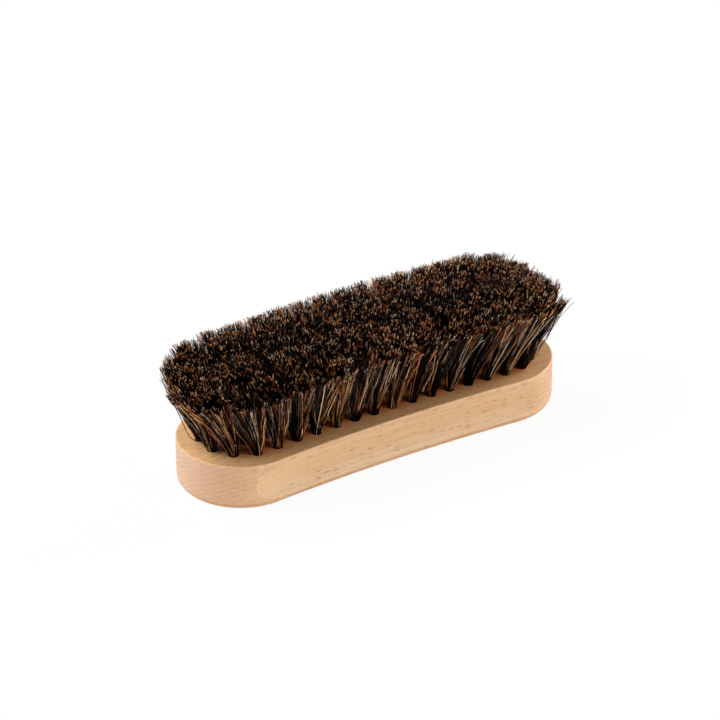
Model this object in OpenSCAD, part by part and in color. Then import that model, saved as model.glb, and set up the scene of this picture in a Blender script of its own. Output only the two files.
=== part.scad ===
// Shoe shine brush: a waisted beech block with blind-drilled horsehair tufts.
// Lengths in mm. +X runs along the block, -Y is the side shown first, +Z is up.
// The origin is at the middle of the back face, on which the brush rests.

/* [Block] */
// Overall length of the block
block_length = 180; // [120:1:240]
// Width of the block across its two lobes
lobe_width = 55; // [40:0.5:75]
// Width of the block at its waist
waist_width = 50.4; // [36:0.2:74]
// Height of the block, from the back to the drilled face
block_height = 21.4; // [16:0.1:30]
// Radius of the soft edge round the drilled face
rim_radius = 0.7; // [0.3:0.1:2]
// Radius of the rounded edge round the back
back_radius = 4; // [1:0.25:6]

/* [Finger grooves] */
// Deepest cut of the finger groove along each long side
groove_depth = 2.1; // [1:0.1:3]
// Radius of the cove that forms the groove
groove_radius = 15; // [10:0.5:25]
// Height of the middle of the groove above the back
groove_height = 11.2; // [7:0.1:18]

/* [Tuft layout] */
// Distance of the outer ring of holes from the block's outline
outer_inset = 9.8; // [7:0.1:12]
// Distance of the inner ring of holes from the block's outline
inner_inset = 19.3; // [16:0.1:22]
// Tufts from the middle of a long side to one end, on the outer ring
outer_reach_count = 9; // [6:1:12]
// Tufts of the outer ring that belong to each long row, from its middle
outer_row_count = 7; // [4:1:9]
// Tufts from the middle of a long side to one end, on the inner ring
inner_reach_count = 7; // [4:1:10]
// Distance of the lone tuft in each lobe from the middle of the block
lobe_tuft_x = 59.5; // [40:0.5:70]
// How far the rows of holes sit towards the right-hand end at the middle of their length
row_drift = 2.8; // [0:0.1:3]

/* [Holes and anchors] */
// Diameter of the drilled holes
hole_diameter = 4.6; // [3:0.1:6]
// Depth of the holes along their own axis
hole_depth = 11; // [8:0.5:13]
// Outward slant of the outer ring of holes, in degrees
outer_slant = 8; // [0:0.5:14]
// Outward slant of the inner ring of holes, in degrees
inner_slant = 2; // [0:0.5:8]
// Gap all round between a tuft and its hole
tuft_gap = 0.1; // [0.05:0.01:0.2]
// Thickness of the anchor wire
wire = 0.8; // [0.5:0.1:1.2]
// Distance between the middles of an anchor's two legs
anchor_span = 3; // [2:0.1:4]
// Height of the anchor's cross-wire above the bottom of the hole
anchor_rise = 3; // [2:0.1:5]
// Depth to which the anchor's legs go into the wood
anchor_bite = 2.2; // [1:0.1:4]

/* [Bristles] */
// Height of the trimmed bristles above the block at its middle
bristle_height = 36.3; // [20:0.1:50]
// Drop of the trim from the middle to the ends
trim_drop = 4; // [0:0.1:8]
// Length of tight root that stands out of each hole
root_stand = 3; // [1:0.25:6]
// Half the width of the trimmed bristles, to the outer strands
tip_half_width = 30.8; // [24:0.1:40]
// Outward reach of the end tufts, from hole to tip
end_reach = 12.6; // [6:0.1:18]
// Inward reach of the outer tufts, from hole to tip
back_reach = 2.5; // [1:0.1:5]
// Half the spread of an outer tuft along its row, at the tips
row_spread = 4.2; // [2:0.1:4.6]
// Half the spread of an inner tuft at the tips
inner_spread = 4.2; // [2:0.1:4.4]
// Outward lean of the inner tufts at the tips
inner_lean = 1; // [0:0.1:1.5]
// Fan of the rows along the block, as a share of the distance from its middle
row_fan = 0.05; // [0:0.01:0.08]
// Radius of the circle of strands where they leave the root
strand_circle = 1.35; // [1:0.05:1.6]
// Radius of a strand where it leaves the root
strand_root = 0.6; // [0.3:0.05:0.65]
// Radius of a strand at its trimmed tip
strand_tip = 0.42; // [0.2:0.02:0.6]
// Share of the height at which a strand bends
bend_height = 0.45; // [0.3:0.05:0.6]
// Share of the spread that a strand has where it bends
bend_spread = 0.36; // [0.2:0.02:0.6]

/* [Hidden] */
$fn = 64;
eps = 0.01;

beech = [0.80, 0.62, 0.42];
hair = [0.10, 0.07, 0.05];
steel = [0.66, 0.66, 0.68];

// Outline of the block: end arcs round (lobe_x, 0) and waist arcs round (0, waist_y).
lobe_r = lobe_width / 2;
lobe_x = block_length / 2 - lobe_r;
waist_half = waist_width / 2;
waist_r = round(50 * (lobe_x * lobe_x + waist_half * waist_half - lobe_r * lobe_r) / (lobe_r - waist_half)) / 100;
waist_y = waist_half + waist_r;
join_angle = atan(lobe_x / waist_y);

// The waist lies in by the lap and ends just before the lobes, so that the two meet cleanly.
lap = 0.02;
waist_end = lobe_x - lobe_r * sin(join_angle) - sqrt(2 * lap / (1 / lobe_r + 1 / waist_r)) - 0.4;

plug_diameter = hole_diameter - 2 * tuft_gap;
strands_round = 6;

// Length of a quarter of the path that runs inside the outline by the distance given.
function arc_part(inset) = (lobe_r - inset) * (90 + join_angle) * PI / 180;
function side_part(inset) = (waist_r + inset) * join_angle * PI / 180;
function quarter(inset) = arc_part(inset) + side_part(inset);

// Point and outward normal at distance t from the middle of the back side, towards an end.
function side_point(t, inset) = let (r = waist_r + inset, a = t / r * 180 / PI)
    [r * sin(a), waist_y - r * cos(a), -sin(a), cos(a)];
function end_point(t, inset) =
    let (r = lobe_r - inset, a = (t - side_part(inset)) / r * 180 / PI - join_angle)
    [lobe_x + r * sin(a), r * cos(a), sin(a), cos(a)];
function path_point(t, inset) =
    let (p = abs(t) < side_part(inset) ? side_point(abs(t), inset) : end_point(abs(t), inset), s = t < 0 ? -1 : 1)
    [s * p[0], p[1], s * p[2], p[3]];
function mirror_y(list) = [for (p = list) [p[0], -p[1], p[2], -p[3]]];
function mirror_x(list) = [for (p = list) [-p[0], p[1], -p[2], p[3]]];

outer_pitch = quarter(outer_inset) / (outer_reach_count + 0.5);
inner_pitch = quarter(inner_inset) / (inner_reach_count + 0.5);

// Point of a ring of holes at distance t, moved on by the drift, which fades towards both ends.
function ring_point(t, inset) = path_point(t + row_drift * (1 - pow(t / quarter(inset), 2)), inset);

// Each tuft is [x, y, normal x, normal y].
back_outer = [for (k = [-outer_row_count : outer_row_count]) ring_point(k * outer_pitch, outer_inset)];
left_corner = [for (k = [outer_row_count + 1 : outer_reach_count]) ring_point(-k * outer_pitch, outer_inset)];
left_end = concat(left_corner, mirror_y(left_corner));
right_corner = [for (k = [outer_row_count + 1 : outer_reach_count]) ring_point(k * outer_pitch, outer_inset)];
right_end = concat(right_corner, mirror_y(right_corner));
back_inner = [for (k = [-inner_reach_count : inner_reach_count - 1])
    ring_point((k + 0.5) * inner_pitch, inner_inset)];
right_nose = [path_point(quarter(inner_inset), inner_inset)];
right_centre = [[lobe_tuft_x, 0, 1, 0]];

// Height of the trimmed tips above the drilled face.
function trim_at(x) = bristle_height - trim_drop * pow(x / (block_length / 2), 2);

// Outward reach of an outer tuft's farthest strand, from hole to tip.
function reach_of(p) = let (w = pow(p[3], 4)) end_reach * (1 - w) + (tip_half_width - abs(p[1])) * w;

// Places a child in the frame of a hole: its mouth at the origin, its axis along Z, outward along X.
module at_hole(p, slant) {
    translate([p[0], p[1], block_height])
        rotate([0, 0, atan2(p[3], p[2])])
            rotate([0, slant, 0])
                children();
}

// Section of the spoil left outside a rounded edge of radius r, in the corner at the origin.
module corner_spoil(r) {
    translate([-r, -r])
        difference() {
            square(r + 1);
            circle(r, $fn = 64);
        }
}

// Half section of an end lobe, turned about its own upright axis.
module lobe_section() {
    difference() {
        square([lobe_r, block_height]);
        translate([lobe_r, block_height]) corner_spoil(rim_radius);
        translate([lobe_r, 0]) mirror([0, 1]) corner_spoil(back_radius);
    }
}

module lobe() {
    translate([lobe_x, 0, 0])
        rotate_extrude($fn = 180)
            lobe_section();
}

// Section of the wood taken from the waist, turned about the upright axis of its arc.
module waist_section() {
    r = waist_r + lap;
    translate([r - 2 * lobe_r, -1]) square([2 * lobe_r, block_height + 2]);
    translate([r, block_height]) mirror([1, 0]) corner_spoil(rim_radius);
    translate([r, 0]) mirror([1, 0]) mirror([0, 1]) corner_spoil(back_radius);
}

module waist_cut() {
    translate([0, waist_y, 0])
        rotate_extrude($fn = 720)
            waist_section();
}

// Middle of the block, as far as the lobes take over its outline.
module waist() {
    far = lobe_r + back_radius;
    difference() {
        translate([-waist_end, -far, 0]) cube([2 * waist_end, 2 * far, block_height]);
        waist_cut();
        mirror([0, 1, 0]) waist_cut();
    }
}

// Cove that follows the waist and runs out where the ends curve away from it.
module groove_cut() {
    translate([0, waist_y, 0])
        rotate([0, 0, -90 - 2 * join_angle])
            rotate_extrude(angle = 4 * join_angle, $fn = 720)
                translate([waist_r + groove_depth - groove_radius, groove_height])
                    circle(groove_radius, $fn = 128);
}

// Bore of one tuft with the two prints of its anchor in the bottom.
module tuft_bore() {
    translate([0, 0, -hole_depth]) cylinder(d = hole_diameter, h = hole_depth + 2);
    for (side = [-1, 1])
        translate([0, side * anchor_span / 2, -hole_depth - anchor_bite / 2])
            cube([wire, wire, anchor_bite + 2 * eps], center = true);
}

module bores(list, slant) {
    for (p = list)
        at_hole(p, slant) tuft_bore();
}

// Beech block of the brush, in one piece.
module block() {
    color(beech)
    difference() {
        union() {
            waist();
            lobe();
            mirror([1, 0, 0]) lobe();
        }
        groove_cut();
        mirror([0, 1, 0]) groove_cut();
        bores(back_outer, outer_slant);
        bores(mirror_y(back_outer), outer_slant);
        bores(right_end, outer_slant);
        bores(left_end, outer_slant);
        bores(back_inner, inner_slant);
        bores(mirror_y(back_inner), inner_slant);
        bores(right_nose, inner_slant);
        bores(mirror_x(right_nose), inner_slant);
        bores(right_centre, 0);
        bores(mirror_x(right_centre), 0);
    }
}

// Wire anchor: a cross-wire over the fold of the tuft, and two legs pressed into the wood.
module anchor() {
    leg = anchor_rise + anchor_bite + wire / 2;
    translate([0, 0, -hole_depth + anchor_rise])
        cube([wire, anchor_span + wire, wire], center = true);
    for (side = [-1, 1])
        translate([0, side * anchor_span / 2, -hole_depth - anchor_bite + leg / 2])
            cube([wire, wire, leg], center = true);
}

// Room that the folded tuft leaves for its anchor.
module anchor_room() {
    slot = wire + 2 * tuft_gap;
    top = -hole_depth + anchor_rise + slot / 2;
    translate([0, 0, -hole_depth + anchor_rise])
        cube([slot, hole_diameter + 1, slot], center = true);
    for (side = [-1, 1])
        translate([-slot / 2, side > 0 ? anchor_span / 2 - slot / 2 : -hole_diameter / 2 - 0.5, -hole_depth - 1])
            cube([slot, hole_diameter / 2 + 0.5 - anchor_span / 2 + slot / 2, top + hole_depth + 1]);
}

// Root of a tuft, folded under its anchor.
module root() {
    difference() {
        translate([0, 0, -hole_depth]) cylinder(d = plug_diameter, h = hole_depth + root_stand);
        anchor_room();
    }
}

// Three-sided strand through three centres, with its own radius at each.
module strand(c, r) {
    points = [for (i = [0 : 2]) for (k = [0 : 2]) c[i] + r[i] * [cos(120 * k), sin(120 * k), 0]];
    sides = [for (i = [0 : 1]) for (k = [0 : 2]) let (a = 3 * i + k, b = 3 * i + (k + 1) % 3)
        each [[a, a + 3, b + 3], [a, b + 3, b]]];
    polyhedron(points, concat([[0, 1, 2]], sides, [[8, 7, 6]]));
}

// Strands of one tuft: one in the middle and the rest round it, spread the same way at every height.
// u is the middle and half the spread across the row, v half the spread along it.
module strands(p, slant, u_mid, u_half, v_half) {
    out = [p[2], p[3], 0];
    along = [p[3], -p[2], 0];
    up = [sin(slant) * p[2], sin(slant) * p[3], cos(slant)];
    mouth = [p[0], p[1], block_height];
    fan = row_fan * p[0] * p[3] * abs(p[3]);
    for (k = [0 : strands_round]) {
        a = 360 / strands_round * k;
        c = k < strands_round ? [cos(a), sin(a)] : [0, 0];
        foot = mouth + root_stand / 2 * up + strand_circle * (c[0] * out + c[1] * along);
        flat_tip = mouth + (u_mid + u_half * c[0]) * out + (v_half * c[1] + fan) * along;
        tip = flat_tip + [0, 0, trim_at(flat_tip[0])];
        share = [bend_spread, bend_spread, bend_height];
        bend = foot + [for (i = [0 : 2]) share[i] * (tip[i] - foot[i])];
        thin = strand_root + bend_height * (strand_tip - strand_root);
        strand([foot, bend, tip], [strand_root, thin, strand_tip]);
    }
}

module outer_tufts(list) {
    color(hair)
    for (p = list) {
        reach = reach_of(p);
        union() {
            at_hole(p, outer_slant) root();
            strands(p, outer_slant, (reach - back_reach) / 2, (reach + back_reach) / 2, row_spread);
        }
    }
}

module inner_tufts(list, slant, lean) {
    color(hair)
    for (p = list)
        union() {
            at_hole(p, slant) root();
            strands(p, slant, lean, inner_spread, inner_spread);
        }
}

module anchors(list, slant) {
    color(steel)
    for (p = list)
        at_hole(p, slant) anchor();
}

// Long row of the outer ring on the side shown first.
module front_outer_tufts() {
    outer_tufts(mirror_y(back_outer));
}

// Long row of the outer ring on the far side.
module back_outer_tufts() {
    outer_tufts(back_outer);
}

// Outer tufts round the left end.
module left_end_tufts() {
    outer_tufts(left_end);
}

// Outer tufts round the right end.
module right_end_tufts() {
    outer_tufts(right_end);
}

// Long row of the inner ring on the side shown first.
module front_inner_tufts() {
    inner_tufts(mirror_y(back_inner), inner_slant, inner_lean);
}

// Long row of the inner ring on the far side.
module back_inner_tufts() {
    inner_tufts(back_inner, inner_slant, inner_lean);
}

// Last tuft of the inner ring and the lone tuft inside it, in the left lobe.
module left_lobe_tufts() {
    inner_tufts(mirror_x(right_nose), inner_slant, inner_lean);
    inner_tufts(mirror_x(right_centre), 0, 0);
}

// Last tuft of the inner ring and the lone tuft inside it, in the right lobe.
module right_lobe_tufts() {
    inner_tufts(right_nose, inner_slant, inner_lean);
    inner_tufts(right_centre, 0, 0);
}

// Anchors of the outer ring.
module outer_anchors() {
    anchors(back_outer, outer_slant);
    anchors(mirror_y(back_outer), outer_slant);
    anchors(right_end, outer_slant);
    anchors(left_end, outer_slant);
}

// Anchors of the inner ring and of the lone tufts.
module inner_anchors() {
    anchors(back_inner, inner_slant);
    anchors(mirror_y(back_inner), inner_slant);
    anchors(right_nose, inner_slant);
    anchors(mirror_x(right_nose), inner_slant);
    anchors(right_centre, 0);
    anchors(mirror_x(right_centre), 0);
}

block();
front_outer_tufts();
back_outer_tufts();
left_end_tufts();
right_end_tufts();
front_inner_tufts();
back_inner_tufts();
left_lobe_tufts();
right_lobe_tufts();
outer_anchors();
inner_anchors();
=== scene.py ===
"""Shoe shine brush: waisted beech block with tufts of dark horsehair, on a white studio floor."""

import math
from dataclasses import dataclass, replace

import bpy
import numpy as np
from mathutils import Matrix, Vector


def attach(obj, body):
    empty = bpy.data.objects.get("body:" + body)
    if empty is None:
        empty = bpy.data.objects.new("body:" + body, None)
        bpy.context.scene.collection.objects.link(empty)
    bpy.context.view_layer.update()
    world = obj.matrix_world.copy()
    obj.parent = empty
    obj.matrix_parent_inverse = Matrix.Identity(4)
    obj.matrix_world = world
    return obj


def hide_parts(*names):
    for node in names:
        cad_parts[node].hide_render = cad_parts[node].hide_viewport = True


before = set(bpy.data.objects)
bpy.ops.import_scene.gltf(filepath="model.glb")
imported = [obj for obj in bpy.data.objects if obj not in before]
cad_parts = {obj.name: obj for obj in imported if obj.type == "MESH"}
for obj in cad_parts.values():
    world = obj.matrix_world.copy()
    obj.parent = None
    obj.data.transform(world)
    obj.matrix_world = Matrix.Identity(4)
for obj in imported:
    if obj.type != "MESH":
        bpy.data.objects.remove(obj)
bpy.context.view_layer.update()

MM = 0.001
WHITE = (1.0, 1.0, 1.0, 1.0)

# Camera, as fitted to the rim and the back of the block in the photograph
AZIMUTH = math.radians(-32.49)
ELEVATION = math.radians(29.60)
DISTANCE = 1.509
FOCAL_PX = 3537.0
IMAGE_PX = 720
SLIDE_RIGHT_PX = 7.65
SLIDE_UP_PX = -54.36
TARGET = Vector((0.0, 0.0, 0.0107))  # the middle of the block
SENSOR_WIDTH = 36.0


def add_camera():
    data = bpy.data.cameras.new("camera")
    camera = bpy.data.objects.new("camera", data)
    bpy.context.scene.collection.objects.link(camera)
    level = math.cos(ELEVATION)
    back = Vector((math.sin(AZIMUTH) * level, -math.cos(AZIMUTH) * level, math.sin(ELEVATION)))
    right = Vector((math.cos(AZIMUTH), math.sin(AZIMUTH), 0.0))
    up = back.cross(right)
    camera.location = (
        TARGET
        + back * DISTANCE
        - right * (SLIDE_RIGHT_PX * DISTANCE / FOCAL_PX)
        - up * (SLIDE_UP_PX * DISTANCE / FOCAL_PX)
    )
    camera.rotation_euler = (math.pi / 2 - ELEVATION, 0.0, AZIMUTH)
    data.sensor_width = SENSOR_WIDTH
    data.lens = SENSOR_WIDTH * FOCAL_PX / IMAGE_PX
    data.clip_start = 0.05
    data.clip_end = 50.0
    bpy.context.scene.camera = camera


add_camera()
bpy.context.scene.view_settings.view_transform = "Standard"


# Node helpers
def linear(*tone):
    """Scene-linear colour of an 8-bit display tone."""
    out = []
    for v in tone:
        v /= 255.0
        out.append(v / 12.92 if v <= 0.04045 else ((v + 0.055) / 1.055) ** 2.4)
    return (*out, 1.0)


class Graph:
    """Small helper round the node tree of a material or of the world."""

    def __init__(self, owner, output="ShaderNodeOutputMaterial"):
        self.owner = owner
        owner.use_nodes = True
        self.tree = owner.node_tree
        self.tree.nodes.clear()
        self.out = self.node(output)

    def node(self, kind, **settings):
        n = self.tree.nodes.new(kind)
        for key, value in settings.items():
            setattr(n, key, value)
        return n

    def put(self, socket, value):
        if isinstance(value, bpy.types.NodeSocket):
            self.tree.links.new(value, socket)
        else:
            socket.default_value = value

    def coords(self):
        return self.node("ShaderNodeTexCoord").outputs["Object"]

    def parts(self, vector):
        """The X, Y and Z of a vector."""
        n = self.node("ShaderNodeSeparateXYZ")
        self.put(n.inputs[0], vector)
        return n.outputs

    def stretched(self, vector, scale, shift=(0, 0, 0), turn=(0, 0, 0)):
        """A vector turned, scaled and shifted."""
        n = self.node("ShaderNodeMapping")
        self.put(n.inputs["Vector"], vector)
        n.inputs["Scale"].default_value = scale
        n.inputs["Location"].default_value = shift
        n.inputs["Rotation"].default_value = turn
        return n.outputs["Vector"]

    def noise(self, vector, scale=1.0, detail=2.0, rough=0.5, warp=0.0):
        n = self.node("ShaderNodeTexNoise")
        self.put(n.inputs["Vector"], vector)
        n.inputs["Scale"].default_value = scale
        n.inputs["Detail"].default_value = detail
        n.inputs["Roughness"].default_value = rough
        n.inputs["Distortion"].default_value = warp
        return n.outputs["Fac"]

    def ramp(self, value, low, high, out_low=0.0, out_high=1.0):
        n = self.node("ShaderNodeMapRange", clamp=True)
        self.put(n.inputs["Value"], value)
        for key, v in zip(("From Min", "From Max", "To Min", "To Max"), (low, high, out_low, out_high)):
            n.inputs[key].default_value = v
        return n.outputs["Result"]

    def ramp_mm(self, distance, low, high):
        """Ramp from 0 to 1 of a distance in metres, between limits in mm."""
        return self.ramp(distance, low * MM, high * MM)

    def mix(self, factor, first, second):
        n = self.node("ShaderNodeMix", data_type="RGBA", clamp_factor=True)
        self.put(n.inputs[0], factor)
        self.put(n.inputs[6], first)
        self.put(n.inputs[7], second)
        return n.outputs[2]

    def math(self, how, first, second=0.0):
        n = self.node("ShaderNodeMath", operation=how)
        self.put(n.inputs[0], first)
        self.put(n.inputs[1], second)
        return n.outputs[0]

    def times(self, first, *others):
        """Product of two or more values."""
        for other in others:
            first = self.math("MULTIPLY", first, other)
        return first

    def tint(self, colour, mask, share, tone):
        """The colour, with a share of a display tone over it where the mask is 1."""
        return self.mix(self.times(mask, share), colour, linear(*tone))

    def across(self, vector, direction):
        """Distance along a direction."""
        n = self.node("ShaderNodeVectorMath", operation="DOT_PRODUCT")
        self.put(n.inputs[0], vector)
        n.inputs[1].default_value = direction
        return n.outputs["Value"]

    def lines(self, distance, spacing, wander, width):
        """Thin lines, one per spacing, that wander by the value given; width is a share of the spacing."""
        phase = self.math("ADD", self.times(distance, 1.0 / spacing), wander)
        off = self.math("ABSOLUTE", self.math("SUBTRACT", self.math("FRACT", phase), 0.5))
        return self.ramp(off, width, 0.3 * width)

    def hypot(self, first, second):
        squares = [self.times(v, v) for v in (first, second)]
        return self.math("SQRT", self.math("ADD", *squares))

    def bump(self, height, strength, distance):
        n = self.node("ShaderNodeBump")
        n.inputs["Strength"].default_value = strength
        n.inputs["Distance"].default_value = distance
        self.put(n.inputs["Height"], height)
        return n.outputs["Normal"]

    def surface(self, **sockets):
        """Finish a material with a Principled surface."""
        n = self.node("ShaderNodeBsdfPrincipled")
        for key, value in sockets.items():
            self.put(n.inputs[key.replace("_", " ")], value)
        self.finish(n.outputs["BSDF"])

    def glow(self, kind, colour, strength):
        """Light of its own, from an Emission or a Background node."""
        n = self.node(kind)
        n.inputs["Color"].default_value = colour
        n.inputs["Strength"].default_value = strength
        return n.outputs[0]

    def either(self, factor, first, second):
        """Mix of two shaders."""
        n = self.node("ShaderNodeMixShader")
        self.put(n.inputs["Fac"], factor)
        self.put(n.inputs[1], first)
        self.put(n.inputs[2], second)
        return n.outputs[0]

    def finish(self, shader):
        self.tree.links.new(shader, self.out.inputs["Surface"])


def new_material(name):
    return Graph(bpy.data.materials.new(name))


# Sizes of the brush, in mm, as in the part's source
LENGTH, LOBE_WIDTH, WAIST_WIDTH, HEIGHT = 180.0, 55.0, 50.4, 21.4
OUTER_INSET, INNER_INSET = 9.8, 19.3
OUTER_REACH_COUNT, OUTER_ROW_COUNT, INNER_REACH_COUNT = 9, 7, 7
LOBE_TUFT_X = 59.5
ROW_DRIFT = 2.8
OUTER_SLANT, INNER_SLANT = math.radians(8.0), math.radians(2.0)
BRISTLE_HEIGHT, TRIM_DROP = 36.3, 4.0
TIP_HALF_WIDTH, END_REACH, BACK_REACH = 30.8, 12.6, 2.5

LOBE_R = LOBE_WIDTH / 2
LOBE_X = LENGTH / 2 - LOBE_R
WAIST_HALF = WAIST_WIDTH / 2
WAIST_R = round(50 * (LOBE_X**2 + WAIST_HALF**2 - LOBE_R**2) / (LOBE_R - WAIST_HALF)) / 100
WAIST_Y = WAIST_HALF + WAIST_R
JOIN = math.atan(LOBE_X / WAIST_Y)

# Display tones of the wood, and of the light and shade painted on it
PALE_BAND = (230, 192, 152)
TAN_BAND = (220, 177, 132)
STREAK = (208, 154, 100)
PORE = (198, 136, 84)
END_GRAIN = (210, 164, 128)
# painted sheen: a paler tone on the tips of the round ends
END_TIP_SHEEN = (226, 194, 170)
# ochre tone of the drilled face, with painted light in it
DRILLED_FACE_TONE_AND_LIGHT = (255, 200, 138)
# painted shade, warmed by light off the hair, among the roots of the tufts
AMONG_TUFTS_SHADE = (226, 122, 50)
# painted shade along the foot of the wall
FOOT_SHADE = (206, 148, 84)
# painted highlight along the rim
RIM_HIGHLIGHT = (240, 198, 144)
# painted light in the finger grooves, and a painted highlight on their edge
GROOVE_LIGHT = (231, 193, 146)
GROOVE_EDGE_HIGHLIGHT = (244, 214, 172)
RING_LINE = (190, 130, 96)
RAY_LINE = (190, 126, 92)
WALL_DASH = (196, 122, 62)
FACE_DASH = (184, 98, 46)

# Heights on the wall of the block, and depths behind its outline, in mm, from no tint to a full one
FOOT_LOW, FOOT_HIGH = 2.8, 4.2
RIM_LOW, RIM_HIGH = 20.6, 21.1
GROOVE_LOW, GROOVE_HIGH, GROOVE_BLUR = 3.5, 19.0, 0.2
GROOVE_DEPTHS = (0.03, 0.08)
EDGE_DEPTHS, PAST_EDGE_DEPTHS = (0.02, 0.05), (0.22, 0.12)
STRIP_DEPTHS = (4.0, 11.0)  # of the painted shade on the drilled strip among the tufts
STRIP_ENDS = (84.0, 66.0)  # its distances from the middle, along the block
LOBE_FADE = 10.0  # how fast the waist's outline gives way to the lobe's

# Grain: cells per metre along, across and up the block, and planes of lines, spaced in mm
BAND_CELLS, BAND_TURN = (6.0, 90.0, 150.0), (0.5, 0.0, 0.03)
STREAK_CELLS = (42.0, 760.0, 760.0)
PORE_CELLS = (380.0, 3000.0, 3000.0)
WANDER_CELLS = (9.0, 55.0, 55.0)
BREAK_CELLS, BREAK_SHIFT = (60.0, 260.0, 260.0), (3.0, 1.0, 0.0)
DASH_CELLS = (225.0, 1300.0, 1300.0)
RING_SPACING, RING_WAY = 2.1, (0.0, 0.515, 0.857)
RAY_SPACING, RAY_WAY = 1.8, (0.0, -0.816, 0.577)


# Beech
def groove_depth(g, place):
    """How far a point lies behind the plain outline of the block, in metres."""
    x = g.math("ABSOLUTE", place["X"])
    y = g.math("ABSOLUTE", place["Y"])
    from_lobe = g.hypot(g.math("SUBTRACT", x, LOBE_X * MM), y)
    from_waist = g.hypot(x, g.math("SUBTRACT", WAIST_Y * MM, y))
    in_lobe = g.math("SUBTRACT", LOBE_R * MM, from_lobe)
    waist_end = (LOBE_X - LOBE_R * math.sin(JOIN)) * MM
    past_waist = g.math("MAXIMUM", g.math("SUBTRACT", x, waist_end), 0.0)
    in_waist = g.math("SUBTRACT", from_waist, WAIST_R * MM)
    in_waist = g.math("SUBTRACT", in_waist, g.times(past_waist, LOBE_FADE))
    return g.math("MAXIMUM", in_lobe, in_waist)


def beech():
    g = new_material("beech")
    at = g.coords()
    place = g.parts(at)
    height = place["Z"]
    depth = groove_depth(g, place)
    normal = g.parts(g.node("ShaderNodeNewGeometry").outputs["Normal"])
    facing_end = g.math("ABSOLUTE", normal["X"])
    end_grain = g.ramp(facing_end, 0.25, 0.70)
    drilled_face = g.ramp(normal["Z"], 0.6, 0.95)
    wall = g.math("SUBTRACT", 1.0, drilled_face)

    # Broad, slow bands, and fine streaks and pores drawn out along the grain
    bands = g.noise(g.stretched(at, BAND_CELLS, turn=BAND_TURN), detail=2.0, warp=0.3)
    streaks = g.noise(g.stretched(at, STREAK_CELLS), detail=3.0, rough=0.65)
    pores = g.noise(g.stretched(at, PORE_CELLS), detail=2.0, rough=0.6)
    colour = g.mix(g.ramp(bands, 0.38, 0.62), linear(*PALE_BAND), linear(*TAN_BAND))
    colour = g.tint(colour, g.ramp(streaks, 0.46, 0.68), 0.62, STREAK)
    colour = g.tint(colour, g.ramp(pores, 0.52, 0.74), 0.42, PORE)

    # The round ends are greyer, with painted sheen near their tips, and painted shade, warmed by light off
    # the hair, lies on the wood among the roots of the tufts
    end_tip_sheen = g.times(g.ramp(facing_end, 0.72, 1.0), wall)
    off_the_ends = g.ramp_mm(g.math("ABSOLUTE", place["X"]), *STRIP_ENDS)
    among_tufts_shade = g.times(g.ramp_mm(depth, *STRIP_DEPTHS), drilled_face, off_the_ends)
    foot = g.ramp_mm(height, FOOT_HIGH, FOOT_LOW)
    painted_rim_highlight = g.times(g.ramp_mm(height, RIM_LOW, RIM_HIGH), wall)
    colour = g.tint(colour, end_grain, 0.55, END_GRAIN)
    colour = g.tint(colour, end_tip_sheen, 0.42, END_TIP_SHEEN)
    # the drilled face's own ochre tone, painted lighter to stand in for the light on it
    colour = g.tint(colour, drilled_face, 0.65, DRILLED_FACE_TONE_AND_LIGHT)
    colour = g.tint(colour, among_tufts_shade, 0.92, AMONG_TUFTS_SHADE)
    # painted shade: a darker, warmer band along the foot of the wall, next to the floor
    colour = g.tint(colour, foot, 0.45, FOOT_SHADE)
    # painted highlight: a light line along the rim
    colour = g.tint(colour, painted_rim_highlight, 0.55, RIM_HIGHLIGHT)

    # The finger grooves: painted light makes them a little paler, with a painted highlight along their
    # edge
    over_foot = g.ramp_mm(height, GROOVE_LOW - GROOVE_BLUR, GROOVE_LOW + GROOVE_BLUR)
    under_rim = g.ramp_mm(height, GROOVE_HIGH + GROOVE_BLUR, GROOVE_HIGH - GROOVE_BLUR)
    between = g.times(over_foot, under_rim, wall)
    painted_groove_light = g.times(g.ramp_mm(depth, *GROOVE_DEPTHS), between)
    edge = g.times(g.ramp_mm(depth, *EDGE_DEPTHS), g.ramp_mm(depth, *PAST_EDGE_DEPTHS), between)
    colour = g.tint(colour, painted_groove_light, 0.40, GROOVE_LIGHT)
    colour = g.tint(colour, edge, 0.45, GROOVE_EDGE_HIGHLIGHT)

    # Growth rings and rays are planes along the grain: their lines cross on the round ends
    wander = g.noise(g.stretched(at, WANDER_CELLS), detail=1.0)
    broken = g.noise(g.stretched(at, BREAK_CELLS, shift=BREAK_SHIFT), detail=1.0)
    rings = g.lines(g.across(at, RING_WAY), RING_SPACING * MM, g.times(wander, 2.2), 0.20)
    rays = g.lines(g.across(at, RAY_WAY), RAY_SPACING * MM, g.times(wander, 1.2), 0.16)
    rings = g.times(rings, g.ramp(broken, 0.30, 0.55))
    rays = g.times(rays, g.ramp(broken, 0.62, 0.42), end_grain)
    colour = g.tint(colour, rings, g.ramp(end_grain, 0.0, 1.0, 0.16, 0.33), RING_LINE)
    colour = g.tint(colour, rays, 0.29, RAY_LINE)

    # Medullary rays seen end on: a few short brown dashes on the walls, closer on the drilled face
    cells = g.node("ShaderNodeTexVoronoi", feature="F1", distance="EUCLIDEAN")
    g.put(cells.inputs["Vector"], g.stretched(at, DASH_CELLS))
    cells.inputs["Scale"].default_value = 1.0
    picked = g.node("ShaderNodeSeparateColor")
    g.put(picked.inputs[0], cells.outputs["Color"])
    near = g.ramp(cells.outputs["Distance"], 0.48, 0.24)
    side_on = g.math("SUBTRACT", 1.0, end_grain)
    rare = g.times(near, g.ramp(picked.outputs["Red"], 0.76, 0.92), side_on, wall)
    often = g.times(near, g.ramp(picked.outputs["Green"], 0.30, 0.80), drilled_face)
    colour = g.tint(colour, rare, 0.85, WALL_DASH)
    colour = g.tint(colour, often, 0.50, FACE_DASH)

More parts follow.
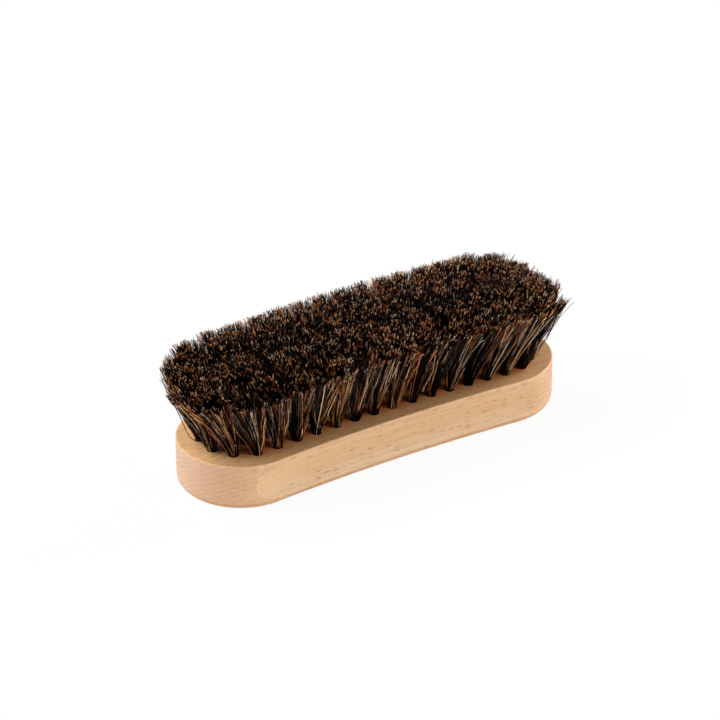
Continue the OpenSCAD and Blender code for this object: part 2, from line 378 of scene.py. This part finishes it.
    dashes = g.math("MAXIMUM", rare, often)
    relief = g.math("ADD", g.times(streaks, 0.6), g.times(dashes, -0.4))
    g.surface(
        Base_Color=colour,
        Roughness=g.ramp(streaks, 0.3, 0.7, 0.42, 0.56),
        Specular_IOR_Level=0.45,
        Normal=g.bump(relief, 0.2, 0.1 * MM),
    )
    return g.owner


def drawn_wire():
    g = new_material("wire")
    drawn = g.noise(g.stretched(g.coords(), (900.0, 5200.0, 5200.0)), detail=2.0)
    g.surface(
        Base_Color=g.mix(g.ramp(drawn, 0.3, 0.7), linear(176, 176, 180), linear(204, 204, 208)),
        Metallic=1.0,
        Roughness=g.ramp(drawn, 0.3, 0.7, 0.28, 0.42),
    )
    return g.owner


def horsehair(name, tone, rough, gloss):
    g = new_material(name)
    scales = g.noise(g.stretched(g.coords(), (2600.0, 2600.0, 700.0)), detail=1.0)
    g.surface(
        Base_Color=linear(*tone),
        Roughness=g.ramp(scales, 0.3, 0.7, rough - 0.08, rough + 0.10),
        Specular_IOR_Level=gloss,
        Normal=g.bump(scales, 0.2, 0.03 * MM),
    )
    return g.owner


def dress(node, material):
    """Give a piece of the frame its material."""
    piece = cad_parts[node]
    if not piece.material_slots:
        piece.data.materials.append(material)
    for slot in piece.material_slots:
        slot.material = material


dress("block", beech())
wire = drawn_wire()
for anchors in ("outer_anchors", "inner_anchors"):
    dress(anchors, wire)

# Kinds of hair, darkest first: tone, roughness, gloss, and share in a tuft's shell and in its core
HAIR = [
    ("hair_black", (4, 2, 1), 0.42, 0.03, 0.60, 0.58),
    ("hair_dark", (26, 17, 12), 0.36, 0.22, 0.18, 0.10),
    ("hair_brown", (80, 46, 28), 0.40, 0.24, 0.09, 0.07),
    ("hair_chestnut", (148, 84, 46), 0.40, 0.28, 0.072, 0.09),
    ("hair_russet", (226, 138, 70), 0.42, 0.30, 0.075, 0.085),
    ("hair_straw", (255, 206, 146), 0.46, 0.24, 0.062, 0.055),
    ("hair_pale", (236, 222, 208), 0.46, 0.24, 0.032, 0.020),
]
BLACK, DARK, BROWN, CHESTNUT, RUSSET, STRAW, PALE = range(len(HAIR))
hair_materials = [horsehair(*kind[:4]) for kind in HAIR]
SHELL_SHARES = np.array([kind[4] for kind in HAIR]) / sum(kind[4] for kind in HAIR)
CORE_SHARES = np.array([kind[5] for kind in HAIR]) / sum(kind[5] for kind in HAIR)


# Paths of the rows
def side_part(inset):
    """Length of the path from the middle of a side to the end of its long arc."""
    return (WAIST_R + inset) * JOIN


def quarter(inset):
    """Length of the path from the middle of a side to the tip of a lobe."""
    return (LOBE_R - inset) * (math.pi / 2 + JOIN) + side_part(inset)


def path_point(t, inset):
    """Point and outward normal at distance t along the path from the middle of the back side."""
    sign = -1.0 if t < 0 else 1.0
    t = abs(t)
    if t < side_part(inset):
        r = WAIST_R + inset
        a = t / r
        return (sign * r * math.sin(a), WAIST_Y - r * math.cos(a), -sign * math.sin(a), math.cos(a))
    r = LOBE_R - inset
    a = (t - side_part(inset)) / r - JOIN
    return (sign * (LOBE_X + r * math.sin(a)), r * math.cos(a), sign * math.sin(a), math.cos(a))


def ring_point(t, inset):
    """Point of a ring of holes, moved on by the drift of the rows, which fades towards both ends."""
    return path_point(t + ROW_DRIFT * (1 - (t / quarter(inset)) ** 2), inset)


def mirror_y(tufts):
    return [(x, -y, nx, -ny) for x, y, nx, ny in tufts]


def mirror_x(tufts):
    return [(-x, y, -nx, ny) for x, y, nx, ny in tufts]


outer_pitch = quarter(OUTER_INSET) / (OUTER_REACH_COUNT + 0.5)
inner_pitch = quarter(INNER_INSET) / (INNER_REACH_COUNT + 0.5)
row_steps = range(-OUTER_ROW_COUNT, OUTER_ROW_COUNT + 1)
corner_steps = range(OUTER_ROW_COUNT + 1, OUTER_REACH_COUNT + 1)
inner_steps = range(-INNER_REACH_COUNT, INNER_REACH_COUNT)
back_outer = [ring_point(k * outer_pitch, OUTER_INSET) for k in row_steps]
front_outer = mirror_y(back_outer)
left_corner = [ring_point(-k * outer_pitch, OUTER_INSET) for k in corner_steps]
left_end = left_corner + mirror_y(left_corner)
right_corner = [ring_point(k * outer_pitch, OUTER_INSET) for k in corner_steps]
right_end = right_corner + mirror_y(right_corner)
back_inner = [ring_point((k + 0.5) * inner_pitch, INNER_INSET) for k in inner_steps]
right_lobe = [path_point(quarter(INNER_INSET), INNER_INSET), (LOBE_TUFT_X, 0.0, 1.0, 0.0)]

# Outline of the tips, in mm: where this brush's trim and lean are uneven, as in the photograph
# CORNER_REACH is the extra reach at each corner, by right end and far side
CORNER_REACH = {(False, False): 6.2, (False, True): 0.0, (True, False): -3.8, (True, True): -5.8}
LEFT_NOSE, NOSE_Y, NOSE_HALF_WIDTH = 2.6, 5.0, 9.0  # extra reach at the middle of the left end
FAR_TRIM = 1.8  # how much closer to the middle the far side is trimmed
NEAR_SPREAD = 2.2  # how much further out the near side leans
SPREAD_FULL, SPREAD_GONE = 48.0, 72.0  # it fades between these at the right end
OUTER_LAP = 2.0  # how far the outer ring's tips go past BACK_REACH, over the inner ones
INNER_LAP = 0.8  # how far the inner ring's tips go past the middle line
OUTER_HALF, INNER_HALF = 4.9, 5.4  # half the width of a tuft's tips along its row
INNER_OUTWARD = 7.0  # reach of the inner ring's tips, outward from their holes
TIP_MARGIN = 0.2  # added to the reach of the outer tips
FAN = 0.09  # lean of the rows along the block, as a share of the distance from the middle
FAN_GROWTH = {False: 0.055, True: 0.034}  # what the fan gains up to FAN_X, by far side
FAN_X = 60
FAN_SCATTER = 0.4  # of the lean from tuft to tuft

# Height of the trim, in mm: the near edge and the tip of the left end are cut lower, both ends aslant
SLANT_START, SLANT_FULL = 45.0, 80.0  # distances from the middle
SLANT_NEAR, SLANT_FAR_LEFT, SLANT_FAR_RIGHT = 1.4, 0.8, 0.4  # fall or rise at SLANT_Y from the middle line
SLANT_Y = 28
NEAR_EDGE, NEAR_EDGE_START, NEAR_EDGE_FULL = 3.0, 15.0, 30.0
NEAR_EDGE_LEFT, NEAR_EDGE_RIGHT = (-88, -72), (62, 42)  # x from which and to which the cut grows
NEAR_EDGE_LEAST = 0.5  # share of the cut that is left at the right end
LEFT_TIP, LEFT_TIP_START, LEFT_TIP_FULL = 1.4, 78.0, 92.0
LEFT_TIP_SIDE = (16, 2)  # y from which and to which the cut grows
HAIR_TRIM_SCATTER, LOCK_TRIM_SCATTER = 0.11, 0.09  # of the tips' height

# Slanted sine waves of the pattern on the tips: per mm of x, per mm of y, and where they start
PATCH_WAVES = ((0.83, 0.31, 1.3), (0.52, -0.94, 0.4), (-0.27, 1.21, 2.2))
SPECK_WAVES = ((3.3, 1.1, 0.7), (-2.1, 2.7, 0.2), (1.9, 3.1, 1.9))
# Chances that a tip is dark: anywhere, what the painted shade of gaps between tufts and each set of waves
# add, and the most
PLAIN_DARK, GAP_SHADE, PATCH_DARK, SPECK_DARK, MOST_DARK = 0.20, 0.90, 0.11, 0.24, 0.97
GAP_START, GAP_FULL = 0.5, 0.95  # places among the tips of a tuft, from its middle at 0

# Places of the locks in a tuft, where its root and its tips both reach about 1 from the middle
OUTWARD_SHARE, OUTWARD_ANGLE = 0.4, 0.9  # locks of a shell that gather on its outer side
SQUARING = 0.8  # from round, at 0, to square, at 1
LOCK_SCATTER, STRAND_SCATTER = 0.05, 0.055
WIDE_REACH, WIDE_POWER = (1.1, 1.8), (0.85, 1.3)  # of locks that spread over their neighbours

# Shape of a hair, in mm or as parts of its height
ROOT_RADIUS = 2.05  # of the round bundle in its hole
ROOT_DEPTH = 1.2  # of the hair's lower end, below the mouth of the hole
STRAIGHT_ROOT = 0.035  # share of a hair that stays upright in its hole
MEAN_POWER, FAN_POWER = 1.05, 1.25  # how late a tuft spreads outward and leans along its row
SHELL_RING_SHIFT = (0.75, 1.12)  # keeps the colours of a shell from changing at one height
CORE_TIP_START = (0.952, 0.985)  # where the bright tip of a hair begins, above the painted shade of a core hair
STRAY_OUT, STRAY_ALONG, STRAY_SHORT, STRAY_BOW = 1.8, 2.8, 2.5, 2.4  # of the few hairs that stray far
BOW_POWER = 0.7  # moves the bow towards the tip
HAIR_WAVE = 0.20
BEND = 1.1
CURL_START, LOCK_CURL, HAIR_CURL = 0.93, 0.42, 0.30
HAIR_RADIUS = 0.108
RADIUS_SPREAD, TAPER = (0.7, 1.35), (1.05, 0.9)  # of the radius, from hair to hair and from root to tip

# Colours along the hairs
TUFT_BRIGHTNESS = (0.6, 1.5)
TONE_AND_SHADE_DARK_SHARE = 0.25  # of darkened hairs, by tone and painted shade, that are dark, not black
STRAY_BRIGHT_SHARE = 0.5
DARKER_RINGS, BRIGHTER_RINGS = 0.22, 0.86  # painted shade and highlights along a strand, where it twists: a ring is darker below the first and brighter above the second
BLACK_ROOT_SHARE = 0.6
SHADED_ROOT_KIND = np.array([BLACK, BLACK, BLACK, DARK, DARK, CHESTNUT, RUSSET])  # painted shade at the root of the other hairs, by kind
ROOT_END_SHARES = [0.22, 0.20, 0.20, 0.20, 0.12, 0.06]  # of hairs whose root part ends at ring 0, 1, ...
WARM_TIPS = {False: 0.12, True: 0.20}  # share of a shell's dark locks with warm tips, by far side


@dataclass(frozen=True)
class Bundle:
    """How the hair of one bundle stands; distances are in mm, and scatters are standard deviations."""

    outer: bool  # in the outer ring of holes
    shell: bool  # the outer layer of a tuft, seen from the side
    locks: int  # groups of hairs that run together and mostly share a colour
    lock_hairs: int
    rings: np.ndarray  # where a hair has its rings of corners, from its root at 0 to its tip at 1
    inmost: float  # places of the locks in the root, as parts of its radius
    outmost: float
    wide_share: float  # of locks that spread over their neighbours
    power: tuple  # how late a lock leaves the middle of its tuft
    stray_share: float
    scatter_out: float  # of the hairs of a lock, outward and along the row
    scatter_along: float
    bow: float
    wave: float
    bent_share: float
    lock_colour_share: float  # of hairs that have the colour of their lock
    thickness: float
    shares: np.ndarray  # of the kinds of hair


SHELL = Bundle(
    outer=True,
    shell=True,
    locks=112,
    lock_hairs=2,
    rings=np.array([0.0, 0.06, 0.16, 0.32, 0.50, 0.70, 0.87, 0.955, 1.0]),
    inmost=0.74,
    outmost=1.0,
    wide_share=0.30,
    power=(1.1, 1.9),
    stray_share=0.05,
    scatter_out=0.24,
    scatter_along=0.36,
    bow=0.75,
    wave=0.42,
    bent_share=0.5,
    lock_colour_share=0.70,
    thickness=0.90,
    shares=SHELL_SHARES,
)
CORE = Bundle(
    outer=True,
    shell=False,
    locks=150,
    lock_hairs=3,
    rings=np.array([0.0, 0.06, 0.50, 0.958, 1.0]),
    inmost=0.0,
    outmost=0.80,
    wide_share=0.06,
    power=(1.3, 2.0),
    stray_share=0.015,
    scatter_out=0.34,
    scatter_along=0.42,
    bow=0.5,
    wave=0.25,
    bent_share=0.0,
    lock_colour_share=0.32,
    thickness=1.0,
    shares=CORE_SHARES,
)
INNER = replace(CORE, outer=False, locks=186, outmost=1.0)


class Hole:
    """Mouth of a hole, with its ways outward, along its row and up its slanted axis."""

    def __init__(self, tuft, outer):
        self.x, self.y, nx, ny = tuft
        slant = OUTER_SLANT if outer else INNER_SLANT
        self.mouth = np.array([self.x, self.y, HEIGHT])
        self.out = np.array([nx, ny, 0.0])
        self.along = np.array([ny, -nx, 0.0])
        self.upward = np.array([math.sin(slant) * nx, math.sin(slant) * ny, math.cos(slant)])
        self.across = ny
        self.side = ny**4  # 1 on the long sides, 0 at the tips of the lobes
        self.is_far = self.y > 0

    def over_mouth(self, outward, along):
        return self.mouth + outward[:, None] * self.out + along[:, None] * self.along


def fade(value, start, end):
    """0 at the start, 1 at the end, and flat beyond them; the start may be the larger."""
    return np.clip((value - start) / (end - start), 0, 1)


def lengthwise_fan(hole):
    """Lean of a tuft along its row, which grows towards the ends of the block."""
    lean = FAN + FAN_GROWTH[hole.is_far] * (hole.x / FAN_X) ** 2
    return hole.x * lean * hole.across * abs(hole.across)


def fanned(hole, outward):
    """How far apart the tips stand, against the holes: along the rows, and round the ends."""
    row = FAN + 3 * FAN_GROWTH[hole.is_far] * (hole.x / FAN_X) ** 2
    return 1 + row * hole.side + outward / (LOBE_R - OUTER_INSET) * (1 - hole.side)


def tip_limits(hole, bundle):
    """Inner and outer limit of the tips, from the hole outward, and half their width along the row."""
    side, end = hole.side, 1 - hole.side
    if not bundle.outer:
        return -abs(hole.y) * side - INNER_HALF * end - INNER_LAP, INNER_OUTWARD, INNER_HALF
    at_left = hole.x < 0
    nose = LEFT_NOSE * max(0.0, 1 - abs(hole.y - NOSE_Y) / NOSE_HALF_WIDTH) if at_left else 0.0
    spread = -FAR_TRIM if hole.is_far else NEAR_SPREAD * fade(hole.x, SPREAD_GONE, SPREAD_FULL)
    on_side = (TIP_HALF_WIDTH + spread - abs(hole.y)) * side
    reach = nose + END_REACH * end + on_side + CORNER_REACH[(hole.x > 0, hole.is_far)] * end
    return -BACK_REACH - OUTER_LAP, reach + TIP_MARGIN, OUTER_HALF


def trim_height(x, y):
    """Height of the trimmed tips over the drilled face."""
    near = y < 0
    to_left = fade(-x, SLANT_START, SLANT_FULL) * np.where(near, SLANT_NEAR, SLANT_FAR_LEFT)
    to_right = fade(x, SLANT_START, SLANT_FULL) * np.where(near, SLANT_NEAR, SLANT_FAR_RIGHT)
    off_the_ends = fade(x, *NEAR_EDGE_LEFT) * np.maximum(fade(x, *NEAR_EDGE_RIGHT), NEAR_EDGE_LEAST)
    near_edge = NEAR_EDGE * fade(-y, NEAR_EDGE_START, NEAR_EDGE_FULL) * off_the_ends
    left_tip = LEFT_TIP * fade(-x, LEFT_TIP_START, LEFT_TIP_FULL) * fade(y, *LEFT_TIP_SIDE)
    crown = BRISTLE_HEIGHT - TRIM_DROP * (x / (LENGTH / 2)) ** 2
    return crown + (to_left + to_right) * y / SLANT_Y - near_edge - left_tip


def waves(x, y, table):
    """Sum of the table's sine waves at each point."""
    return sum(np.sin(per_x * x + per_y * y + start) for per_x, per_y, start in table)


def dark_chance(x, y, in_tips, outer):
    """Chance that a bright tip is dark instead: high between the tufts, as painted shade, and a little
    uneven all over.
    """
    outward = -in_tips[:, 0] if outer else np.abs(in_tips[:, 0])
    edge = np.maximum(outward, np.abs(in_tips[:, 1]))
    # painted shade: tips in the gaps between tufts are darkened
    gap_shade = GAP_SHADE * fade(edge, GAP_START, GAP_FULL)
    uneven = PATCH_DARK * waves(x, y, PATCH_WAVES) + SPECK_DARK * waves(x, y, SPECK_WAVES)
    return np.clip(PLAIN_DARK + gap_shade + uneven, 0.0, MOST_DARK)


def lock_places(rng, bundle):
    """Place of each lock in the round root, and in the squarer field of the tips."""
    n = bundle.locks
    low, high = bundle.inmost, bundle.outmost
    r = np.sqrt(low**2 + (high**2 - low**2) * rng.random(n))
    a = rng.random(n) * 2 * math.pi
    if bundle.shell:
        a = np.where(rng.random(n) < OUTWARD_SHARE, rng.normal(0, OUTWARD_ANGLE, n), a)
    in_root = np.stack([r * np.cos(a), r * np.sin(a)], 1)
    rounding = np.maximum(np.abs(np.cos(a)), np.abs(np.sin(a)))[:, None] ** SQUARING
    return in_root, in_root / rounding + rng.normal(0, LOCK_SCATTER, (n, 2))


def sideways(rng, n):
    """Level directions, one for each of n."""
    turn = rng.random(n) * 2 * math.pi
    return np.stack([np.cos(turn), np.sin(turn), np.zeros(n)], 1)[:, None, :]


def bend_hairs(rng, bundle, points, t, lock, stray):
    """Bow, wave and curl the points in place, with a sharp bend in some; t is the place along a hair."""
    n, count, rings = bundle.locks, len(lock), bundle.rings
    bow = rng.normal(0, bundle.bow, n)[lock] * np.where(stray, STRAY_BOW, 1.0)
    wave = rng.normal(0, bundle.wave, n)[lock] + rng.normal(0, HAIR_WAVE, count)
    phase = (rng.random(n) * 2 * math.pi)[lock]
    bend_at = rings[rng.integers(2, len(rings) - 2, n)][lock][:, None]
    bend = (rng.normal(0, BEND, n) * (rng.random(n) < bundle.bent_share))[lock]
    bowed = bow[:, None] * np.sin(math.pi * t) * t**BOW_POWER
    waved = wave[:, None] * np.sin(3 * math.pi * t + phase[:, None]) * t
    bent = bend[:, None] * np.minimum(t / bend_at, (1 - t) / (1 - bend_at))
    for amount in (bowed, waved, bent):
        points += amount[:, :, None] * sideways(rng, n)[lock]
    curl = fade(t, CURL_START, 1.0)
    lock_curl = rng.normal(0, LOCK_CURL, n)[lock][:, None] * curl
    points += lock_curl[:, :, None] * sideways(rng, n)[lock]
    hair_curl = rng.normal(0, HAIR_CURL, count)[:, None] * curl
    points += hair_curl[:, :, None] * sideways(rng, count)


def tone_and_shade_darkened(rng, kinds, dark_tone_and_shade):
    """The kinds, but black or dark where a tip is darkened: a darker tone, and painted shade in the gaps
    between tufts.
    """
    return np.where(dark_tone_and_shade, np.minimum(kinds, rng.random(len(kinds)) < TONE_AND_SHADE_DARK_SHARE), kinds)


def hair_kinds(rng, bundle, lock, stray, dark_chances):
    """Kind of each hair: a tuft has its own share of bright hair, and a lock is mostly of one kind."""
    n, count = bundle.locks, len(lock)
    shares = bundle.shares.copy()
    shares[BROWN:] *= rng.uniform(*TUFT_BRIGHTNESS)
    shares /= shares.sum()
    lock_kind = rng.choice(len(HAIR), n, p=shares)
    dark_tone_and_shade = rng.random(n) < dark_chances  # drawn for a shell too, which isn't darkened
    if not bundle.shell:
        lock_kind = tone_and_shade_darkened(rng, lock_kind, dark_tone_and_shade)
    own_kind = rng.choice(len(HAIR), count, p=shares)
    if not bundle.shell:
        own_kind = tone_and_shade_darkened(rng, own_kind, dark_tone_and_shade[lock])
    kind = np.where(rng.random(count) < bundle.lock_colour_share, lock_kind[lock], own_kind)
    bright = stray & (rng.random(count) < STRAY_BRIGHT_SHARE)
    return np.where(bright, rng.integers(CHESTNUT, PALE + 1, count), kind)


def ring_kinds(rng, bundle, hole, lock, kind):
    """Kind of each ring of each hair: darker at the root as painted shade, black or dark below the tip in
    a core as painted shade, and uneven on the way up in a shell as painted highlights and shade.
    """
    count, ring_count = len(lock), len(bundle.rings)
    by_ring = np.repeat(kind[:, None], ring_count, axis=1)
    if not bundle.shell:
        # painted shade: a core hair is black or dark below its tip, as shade deep in the tuft
        by_ring[:, :-1] = np.where(kind > RUSSET, DARK, BLACK)[:, None]
        return by_ring
    # painted shade and highlights along the strands of a shell, where they twist
    shade = rng.random((bundle.locks, ring_count))[lock]
    can_brighten = (by_ring > DARK) & (by_ring < STRAW)
    by_ring = by_ring - (shade < DARKER_RINGS) + ((shade > BRIGHTER_RINGS) & can_brighten)
    # painted shade: the roots are black or darker, as in the packed foot of the tuft
    shaded_root_kind = np.where(rng.random(count) < BLACK_ROOT_SHARE, BLACK, SHADED_ROOT_KIND[kind])
    root_end = rng.choice(len(ROOT_END_SHARES), count, p=ROOT_END_SHARES)
    in_root = np.arange(ring_count)[None, :] <= root_end[:, None]
    by_ring = np.where(in_root, shaded_root_kind[:, None], by_ring)
    warm = (rng.random(bundle.locks)[lock] < WARM_TIPS[hole.is_far]) & (by_ring[:, -1] < BROWN)
    warm_kind = rng.integers(CHESTNUT, RUSSET + 1, count)
    by_ring[:, -2:] = np.where(warm[:, None], warm_kind[:, None], by_ring[:, -2:])
    return np.clip(by_ring, BLACK, PALE)


def tuft_hairs(rng, tuft, bundle):
    """Centre points (hairs, rings, 3) in mm, the kind of each ring of each hair, and its radii."""
    hole = Hole(tuft, bundle.outer)
    n, count = bundle.locks, bundle.locks * bundle.lock_hairs
    lock = np.repeat(np.arange(n), bundle.lock_hairs)
    inner_limit, outer_limit, half_width = tip_limits(hole, bundle)
    middle = (inner_limit + outer_limit) / 2
    lean = lengthwise_fan(hole) + rng.normal(0, FAN_SCATTER)

    # Each lock has a place in the root, a place among the tips and a way between them
    in_root, in_tips = lock_places(rng, bundle)
    wide = rng.random(n) < bundle.wide_share
    lock_out = middle + (outer_limit - inner_limit) / 2 * in_tips[:, 0]
    lock_along = half_width * in_tips[:, 1] * np.where(wide, rng.uniform(*WIDE_REACH, n), 1.0)
    lock_along = lock_along * fanned(hole, lock_out if bundle.outer else 0.0)
    power = rng.uniform(*bundle.power, n)
    power = np.where(wide, rng.uniform(*WIDE_POWER, n), power)

    # Each hair strays a little from its lock, and a few stray a lot
    stray = rng.random(count) < bundle.stray_share
    strand = in_root[lock] + rng.normal(0, STRAND_SCATTER, (count, 2))
    strand /= np.maximum(np.linalg.norm(strand, axis=1, keepdims=True), 1.0)
    in_hole = ROOT_RADIUS * (strand[:, :1] * hole.out + strand[:, 1:] * hole.along)
    foot = hole.mouth - ROOT_DEPTH * hole.upward + in_hole
    outward = lock_out[lock] + rng.normal(0, bundle.scatter_out, count)
    outward = outward + stray * rng.normal(0, STRAY_OUT, count)
    along = lock_along[lock] + rng.normal(0, bundle.scatter_along, count)
    along = along + stray * rng.normal(0, STRAY_ALONG, count)
    tip = hole.over_mouth(outward, along + lean)
    tip[:, 2] = HEIGHT + trim_height(tip[:, 0], tip[:, 1]) + rng.normal(0, HAIR_TRIM_SCATTER, count)
    tip[:, 2] += rng.normal(0, LOCK_TRIM_SCATTER, n)[lock] - stray * rng.random(count) * STRAY_SHORT

    # The tuft spreads as a whole, and each hair leaves its middle line at its own pace
    t = np.tile(bundle.rings, (count, 1))
    if bundle.shell:
        t[:, 1:-2] *= rng.uniform(*SHELL_RING_SHIFT, (count, 1))
    else:
        t[:, -2] = rng.uniform(*CORE_TIP_START, count)
    rise = fade(t, STRAIGHT_ROOT, 1.0)
    whole = middle * (rise**MEAN_POWER)[:, :, None] * hole.out
    whole = whole + lean * (rise**FAN_POWER)[:, :, None] * hole.along
    own = tip - foot - middle * hole.out - lean * hole.along
    own[:, 2] = 0
    pace = rise ** power[lock][:, None]
    points = foot[:, None, :] + whole + pace[:, :, None] * own[:, None, :]
    points[:, :, 2] += t * (tip[:, 2] - foot[:, 2])[:, None]
    bend_hairs(rng, bundle, points, t, lock, stray)

    lock_tip = hole.over_mouth(lock_out, lock_along + lean)
    dark_chances = dark_chance(lock_tip[:, 0], lock_tip[:, 1], in_tips, bundle.outer)
    kind = hair_kinds(rng, bundle, lock, stray, dark_chances)
    by_ring = ring_kinds(rng, bundle, hole, lock, kind)
    radius = bundle.thickness * HAIR_RADIUS * rng.uniform(*RADIUS_SPREAD, (count, 1))
    return points, by_ring, radius * np.linspace(*TAPER, len(bundle.rings))[None, :]


def tubes(points, kinds, radii):
    """Three-sided tubes through the points, closed at the tip: corners, loops, face sizes and slots."""
    hairs, rings, _ = points.shape
    along = np.gradient(points, axis=1)
    along /= np.linalg.norm(along, axis=2, keepdims=True)
    side = np.cross(along, np.array([1.0, 0.0, 0.0]))
    side /= np.linalg.norm(side, axis=2, keepdims=True)
    other = np.cross(along, side)
    round_hair = []
    for k in range(3):
        a = 2 * math.pi * k / 3
        round_hair.append(points + (math.cos(a) * side + math.sin(a) * other) * radii[:, :, None])
    corners = np.stack(round_hair, 2).reshape(-1, 3) * MM

    base = (np.arange(hairs) * rings * 3)[:, None, None]
    ring = base + (np.arange(rings - 1) * 3)[None, :, None]
    k = np.arange(3)[None, None, :]
    after = (k + 1) % 3
    quads = np.stack([ring + k, ring + after, ring + 3 + after, ring + 3 + k], -1)
    top = np.arange(hairs) * rings * 3 + (rings - 1) * 3
    caps = np.stack([top, top + 1, top + 2], -1)
    loops = np.concatenate([quads.ravel(), caps.ravel()])
    sizes = np.concatenate([np.full(quads.size // 4, 4), np.full(hairs, 3)])
    slots = np.concatenate([np.repeat(kinds[:, 1:], 3, axis=1).ravel(), kinds[:, -1]])
    return corners, loops, sizes, slots


def tube_object(name, groups):
    """One mesh of all the groups of tubes."""
    made, start = [], 0
    for group in groups:
        corners, loops, sizes, slots = tubes(*group)
        made.append((corners, loops + start, sizes, slots))
        start += len(corners)
    corners, loops, sizes, slots = (np.concatenate(part) for part in zip(*made))
    mesh = bpy.data.meshes.new(name)
    mesh.vertices.add(len(corners))
    mesh.vertices.foreach_set("co", corners.astype(np.float32).ravel())
    mesh.loops.add(len(loops))
    mesh.loops.foreach_set("vertex_index", loops.astype(np.int32))
    mesh.polygons.add(len(sizes))
    mesh.polygons.foreach_set("loop_start", (np.cumsum(sizes) - sizes).astype(np.int32))
    mesh.polygons.foreach_set("material_index", slots.astype(np.int32))
    mesh.polygons.foreach_set("use_smooth", np.ones(len(sizes), dtype=bool))
    mesh.update(calc_edges=True)
    ob = bpy.data.objects.new(name, mesh)
    bpy.context.scene.collection.objects.link(ob)
    return ob


def brush_part(name, node, tufts, bundles, seed):
    """The hair of some of a node's tufts, as one piece."""
    rng = np.random.default_rng(seed)
    groups = [tuft_hairs(rng, tuft, bundle) for tuft in tufts for bundle in bundles]
    ob = tube_object(name, groups)
    for material in hair_materials:
        ob.data.materials.append(material)
    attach(ob, "root")
    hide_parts(node)


OUTER_BUNDLES = (CORE, SHELL)
INNER_BUNDLES = (INNER,)
HALF_ROW = OUTER_ROW_COUNT  # tufts in the left piece of an outer row
for piece in (
    ("front_outer_hair_left", "front_outer_tufts", front_outer[:HALF_ROW], OUTER_BUNDLES, 11),
    ("front_outer_hair_right", "front_outer_tufts", front_outer[HALF_ROW:], OUTER_BUNDLES, 21),
    ("back_outer_hair_left", "back_outer_tufts", back_outer[:HALF_ROW], OUTER_BUNDLES, 12),
    ("back_outer_hair_right", "back_outer_tufts", back_outer[HALF_ROW:], OUTER_BUNDLES, 22),
    ("left_end_hair", "left_end_tufts", left_end, OUTER_BUNDLES, 13),
    ("right_end_hair", "right_end_tufts", right_end, OUTER_BUNDLES, 14),
    ("front_inner_hair", "front_inner_tufts", mirror_y(back_inner), INNER_BUNDLES, 15),
    ("back_inner_hair", "back_inner_tufts", back_inner, INNER_BUNDLES, 16),
    ("left_lobe_hair", "left_lobe_tufts", mirror_x(right_lobe), INNER_BUNDLES, 17),
    ("right_lobe_hair", "right_lobe_tufts", right_lobe, INNER_BUNDLES, 18),
):
    brush_part(*piece)

# Studio, in metres
FLOOR_HALF = 6.0
FLOOR_GLOW = 0.94  # share of pure white in the floor near the brush; all of it from FLOOR_FAR on
FLOOR_NEAR, FLOOR_FAR = 0.25, 0.80
FLOOR_GREY, FLOOR_PALE = (0.93, 0.93, 0.93, 1.0), (0.95, 0.95, 0.95, 1.0)
WORLD_TINT, WORLD_STRENGTH = (1.0, 0.99, 0.98, 1.0), 0.20
LAMP_AIM = Vector((0.0, 0.0, 0.03))


def studio_floor():
    """Matt white that lights the brush, and a nearly shadowless white for the camera."""
    g = new_material("studio_floor")
    path = g.node("ShaderNodeLightPath").outputs
    seen = g.math("MAXIMUM", path["Is Camera Ray"], path["Is Glossy Ray"])
    seen = g.math("MAXIMUM", seen, path["Is Transmission Ray"])
    cloud = g.noise(g.coords(), scale=3.0)
    tone = g.mix(g.ramp(cloud, 0.3, 0.7), FLOOR_GREY, FLOOR_PALE)
    matt = g.node("ShaderNodeBsdfDiffuse")
    g.put(matt.inputs["Color"], tone)
    place = g.parts(g.coords())
    whiteness = g.ramp(g.hypot(place["X"], place["Y"]), FLOOR_NEAR, FLOOR_FAR, FLOOR_GLOW, 1.0)
    lit = g.either(whiteness, matt.outputs[0], g.glow("ShaderNodeEmission", WHITE, 1.0))
    g.finish(g.either(seen, matt.outputs[0], lit))
    return g.owner


def add_floor():
    corners = [(x * FLOOR_HALF, y * FLOOR_HALF, 0) for x, y in ((-1, -1), (1, -1), (1, 1), (-1, 1))]
    mesh = bpy.data.meshes.new("studio_floor")
    mesh.from_pydata(corners, [], [(0, 1, 2, 3)])
    floor = bpy.data.objects.new("studio_floor", mesh)
    floor.data.materials.append(studio_floor())
    bpy.context.scene.collection.objects.link(floor)


def add_world():
    """Weak light from all round, and white where the camera looks past the floor."""
    world = bpy.data.worlds.new("studio")
    g = Graph(world, "ShaderNodeOutputWorld")
    light = g.glow("ShaderNodeBackground", WORLD_TINT, WORLD_STRENGTH)
    seen = g.glow("ShaderNodeBackground", WHITE, 1.0)
    g.finish(g.either(g.node("ShaderNodeLightPath").outputs["Is Camera Ray"], light, seen))
    bpy.context.scene.world = world


def area_lamp(name, place, size, level):
    """Soft square lamp; level is the brightness that it gives a white surface facing it."""
    data = bpy.data.lights.new(name, "AREA")
    data.shape = "SQUARE"
    data.size = size
    lamp = bpy.data.objects.new(name, data)
    lamp.location = place
    way = LAMP_AIM - Vector(place)
    data.energy = level * math.pi**2 * way.length**2
    lamp.rotation_euler = way.to_track_quat("-Z", "Y").to_euler()
    bpy.context.scene.collection.objects.link(lamp)


add_floor()
add_world()
area_lamp("overhead", (-0.75, 0.75, 1.55), 1.0, 0.62)
area_lamp("front", (0.95, -1.72, 0.55), 0.8, 0.53)
area_lamp("left", (-1.5, 0.35, 0.85), 1.1, 0.43)
area_lamp("right", (1.7, 0.15, 0.7), 1.0, 0.58)
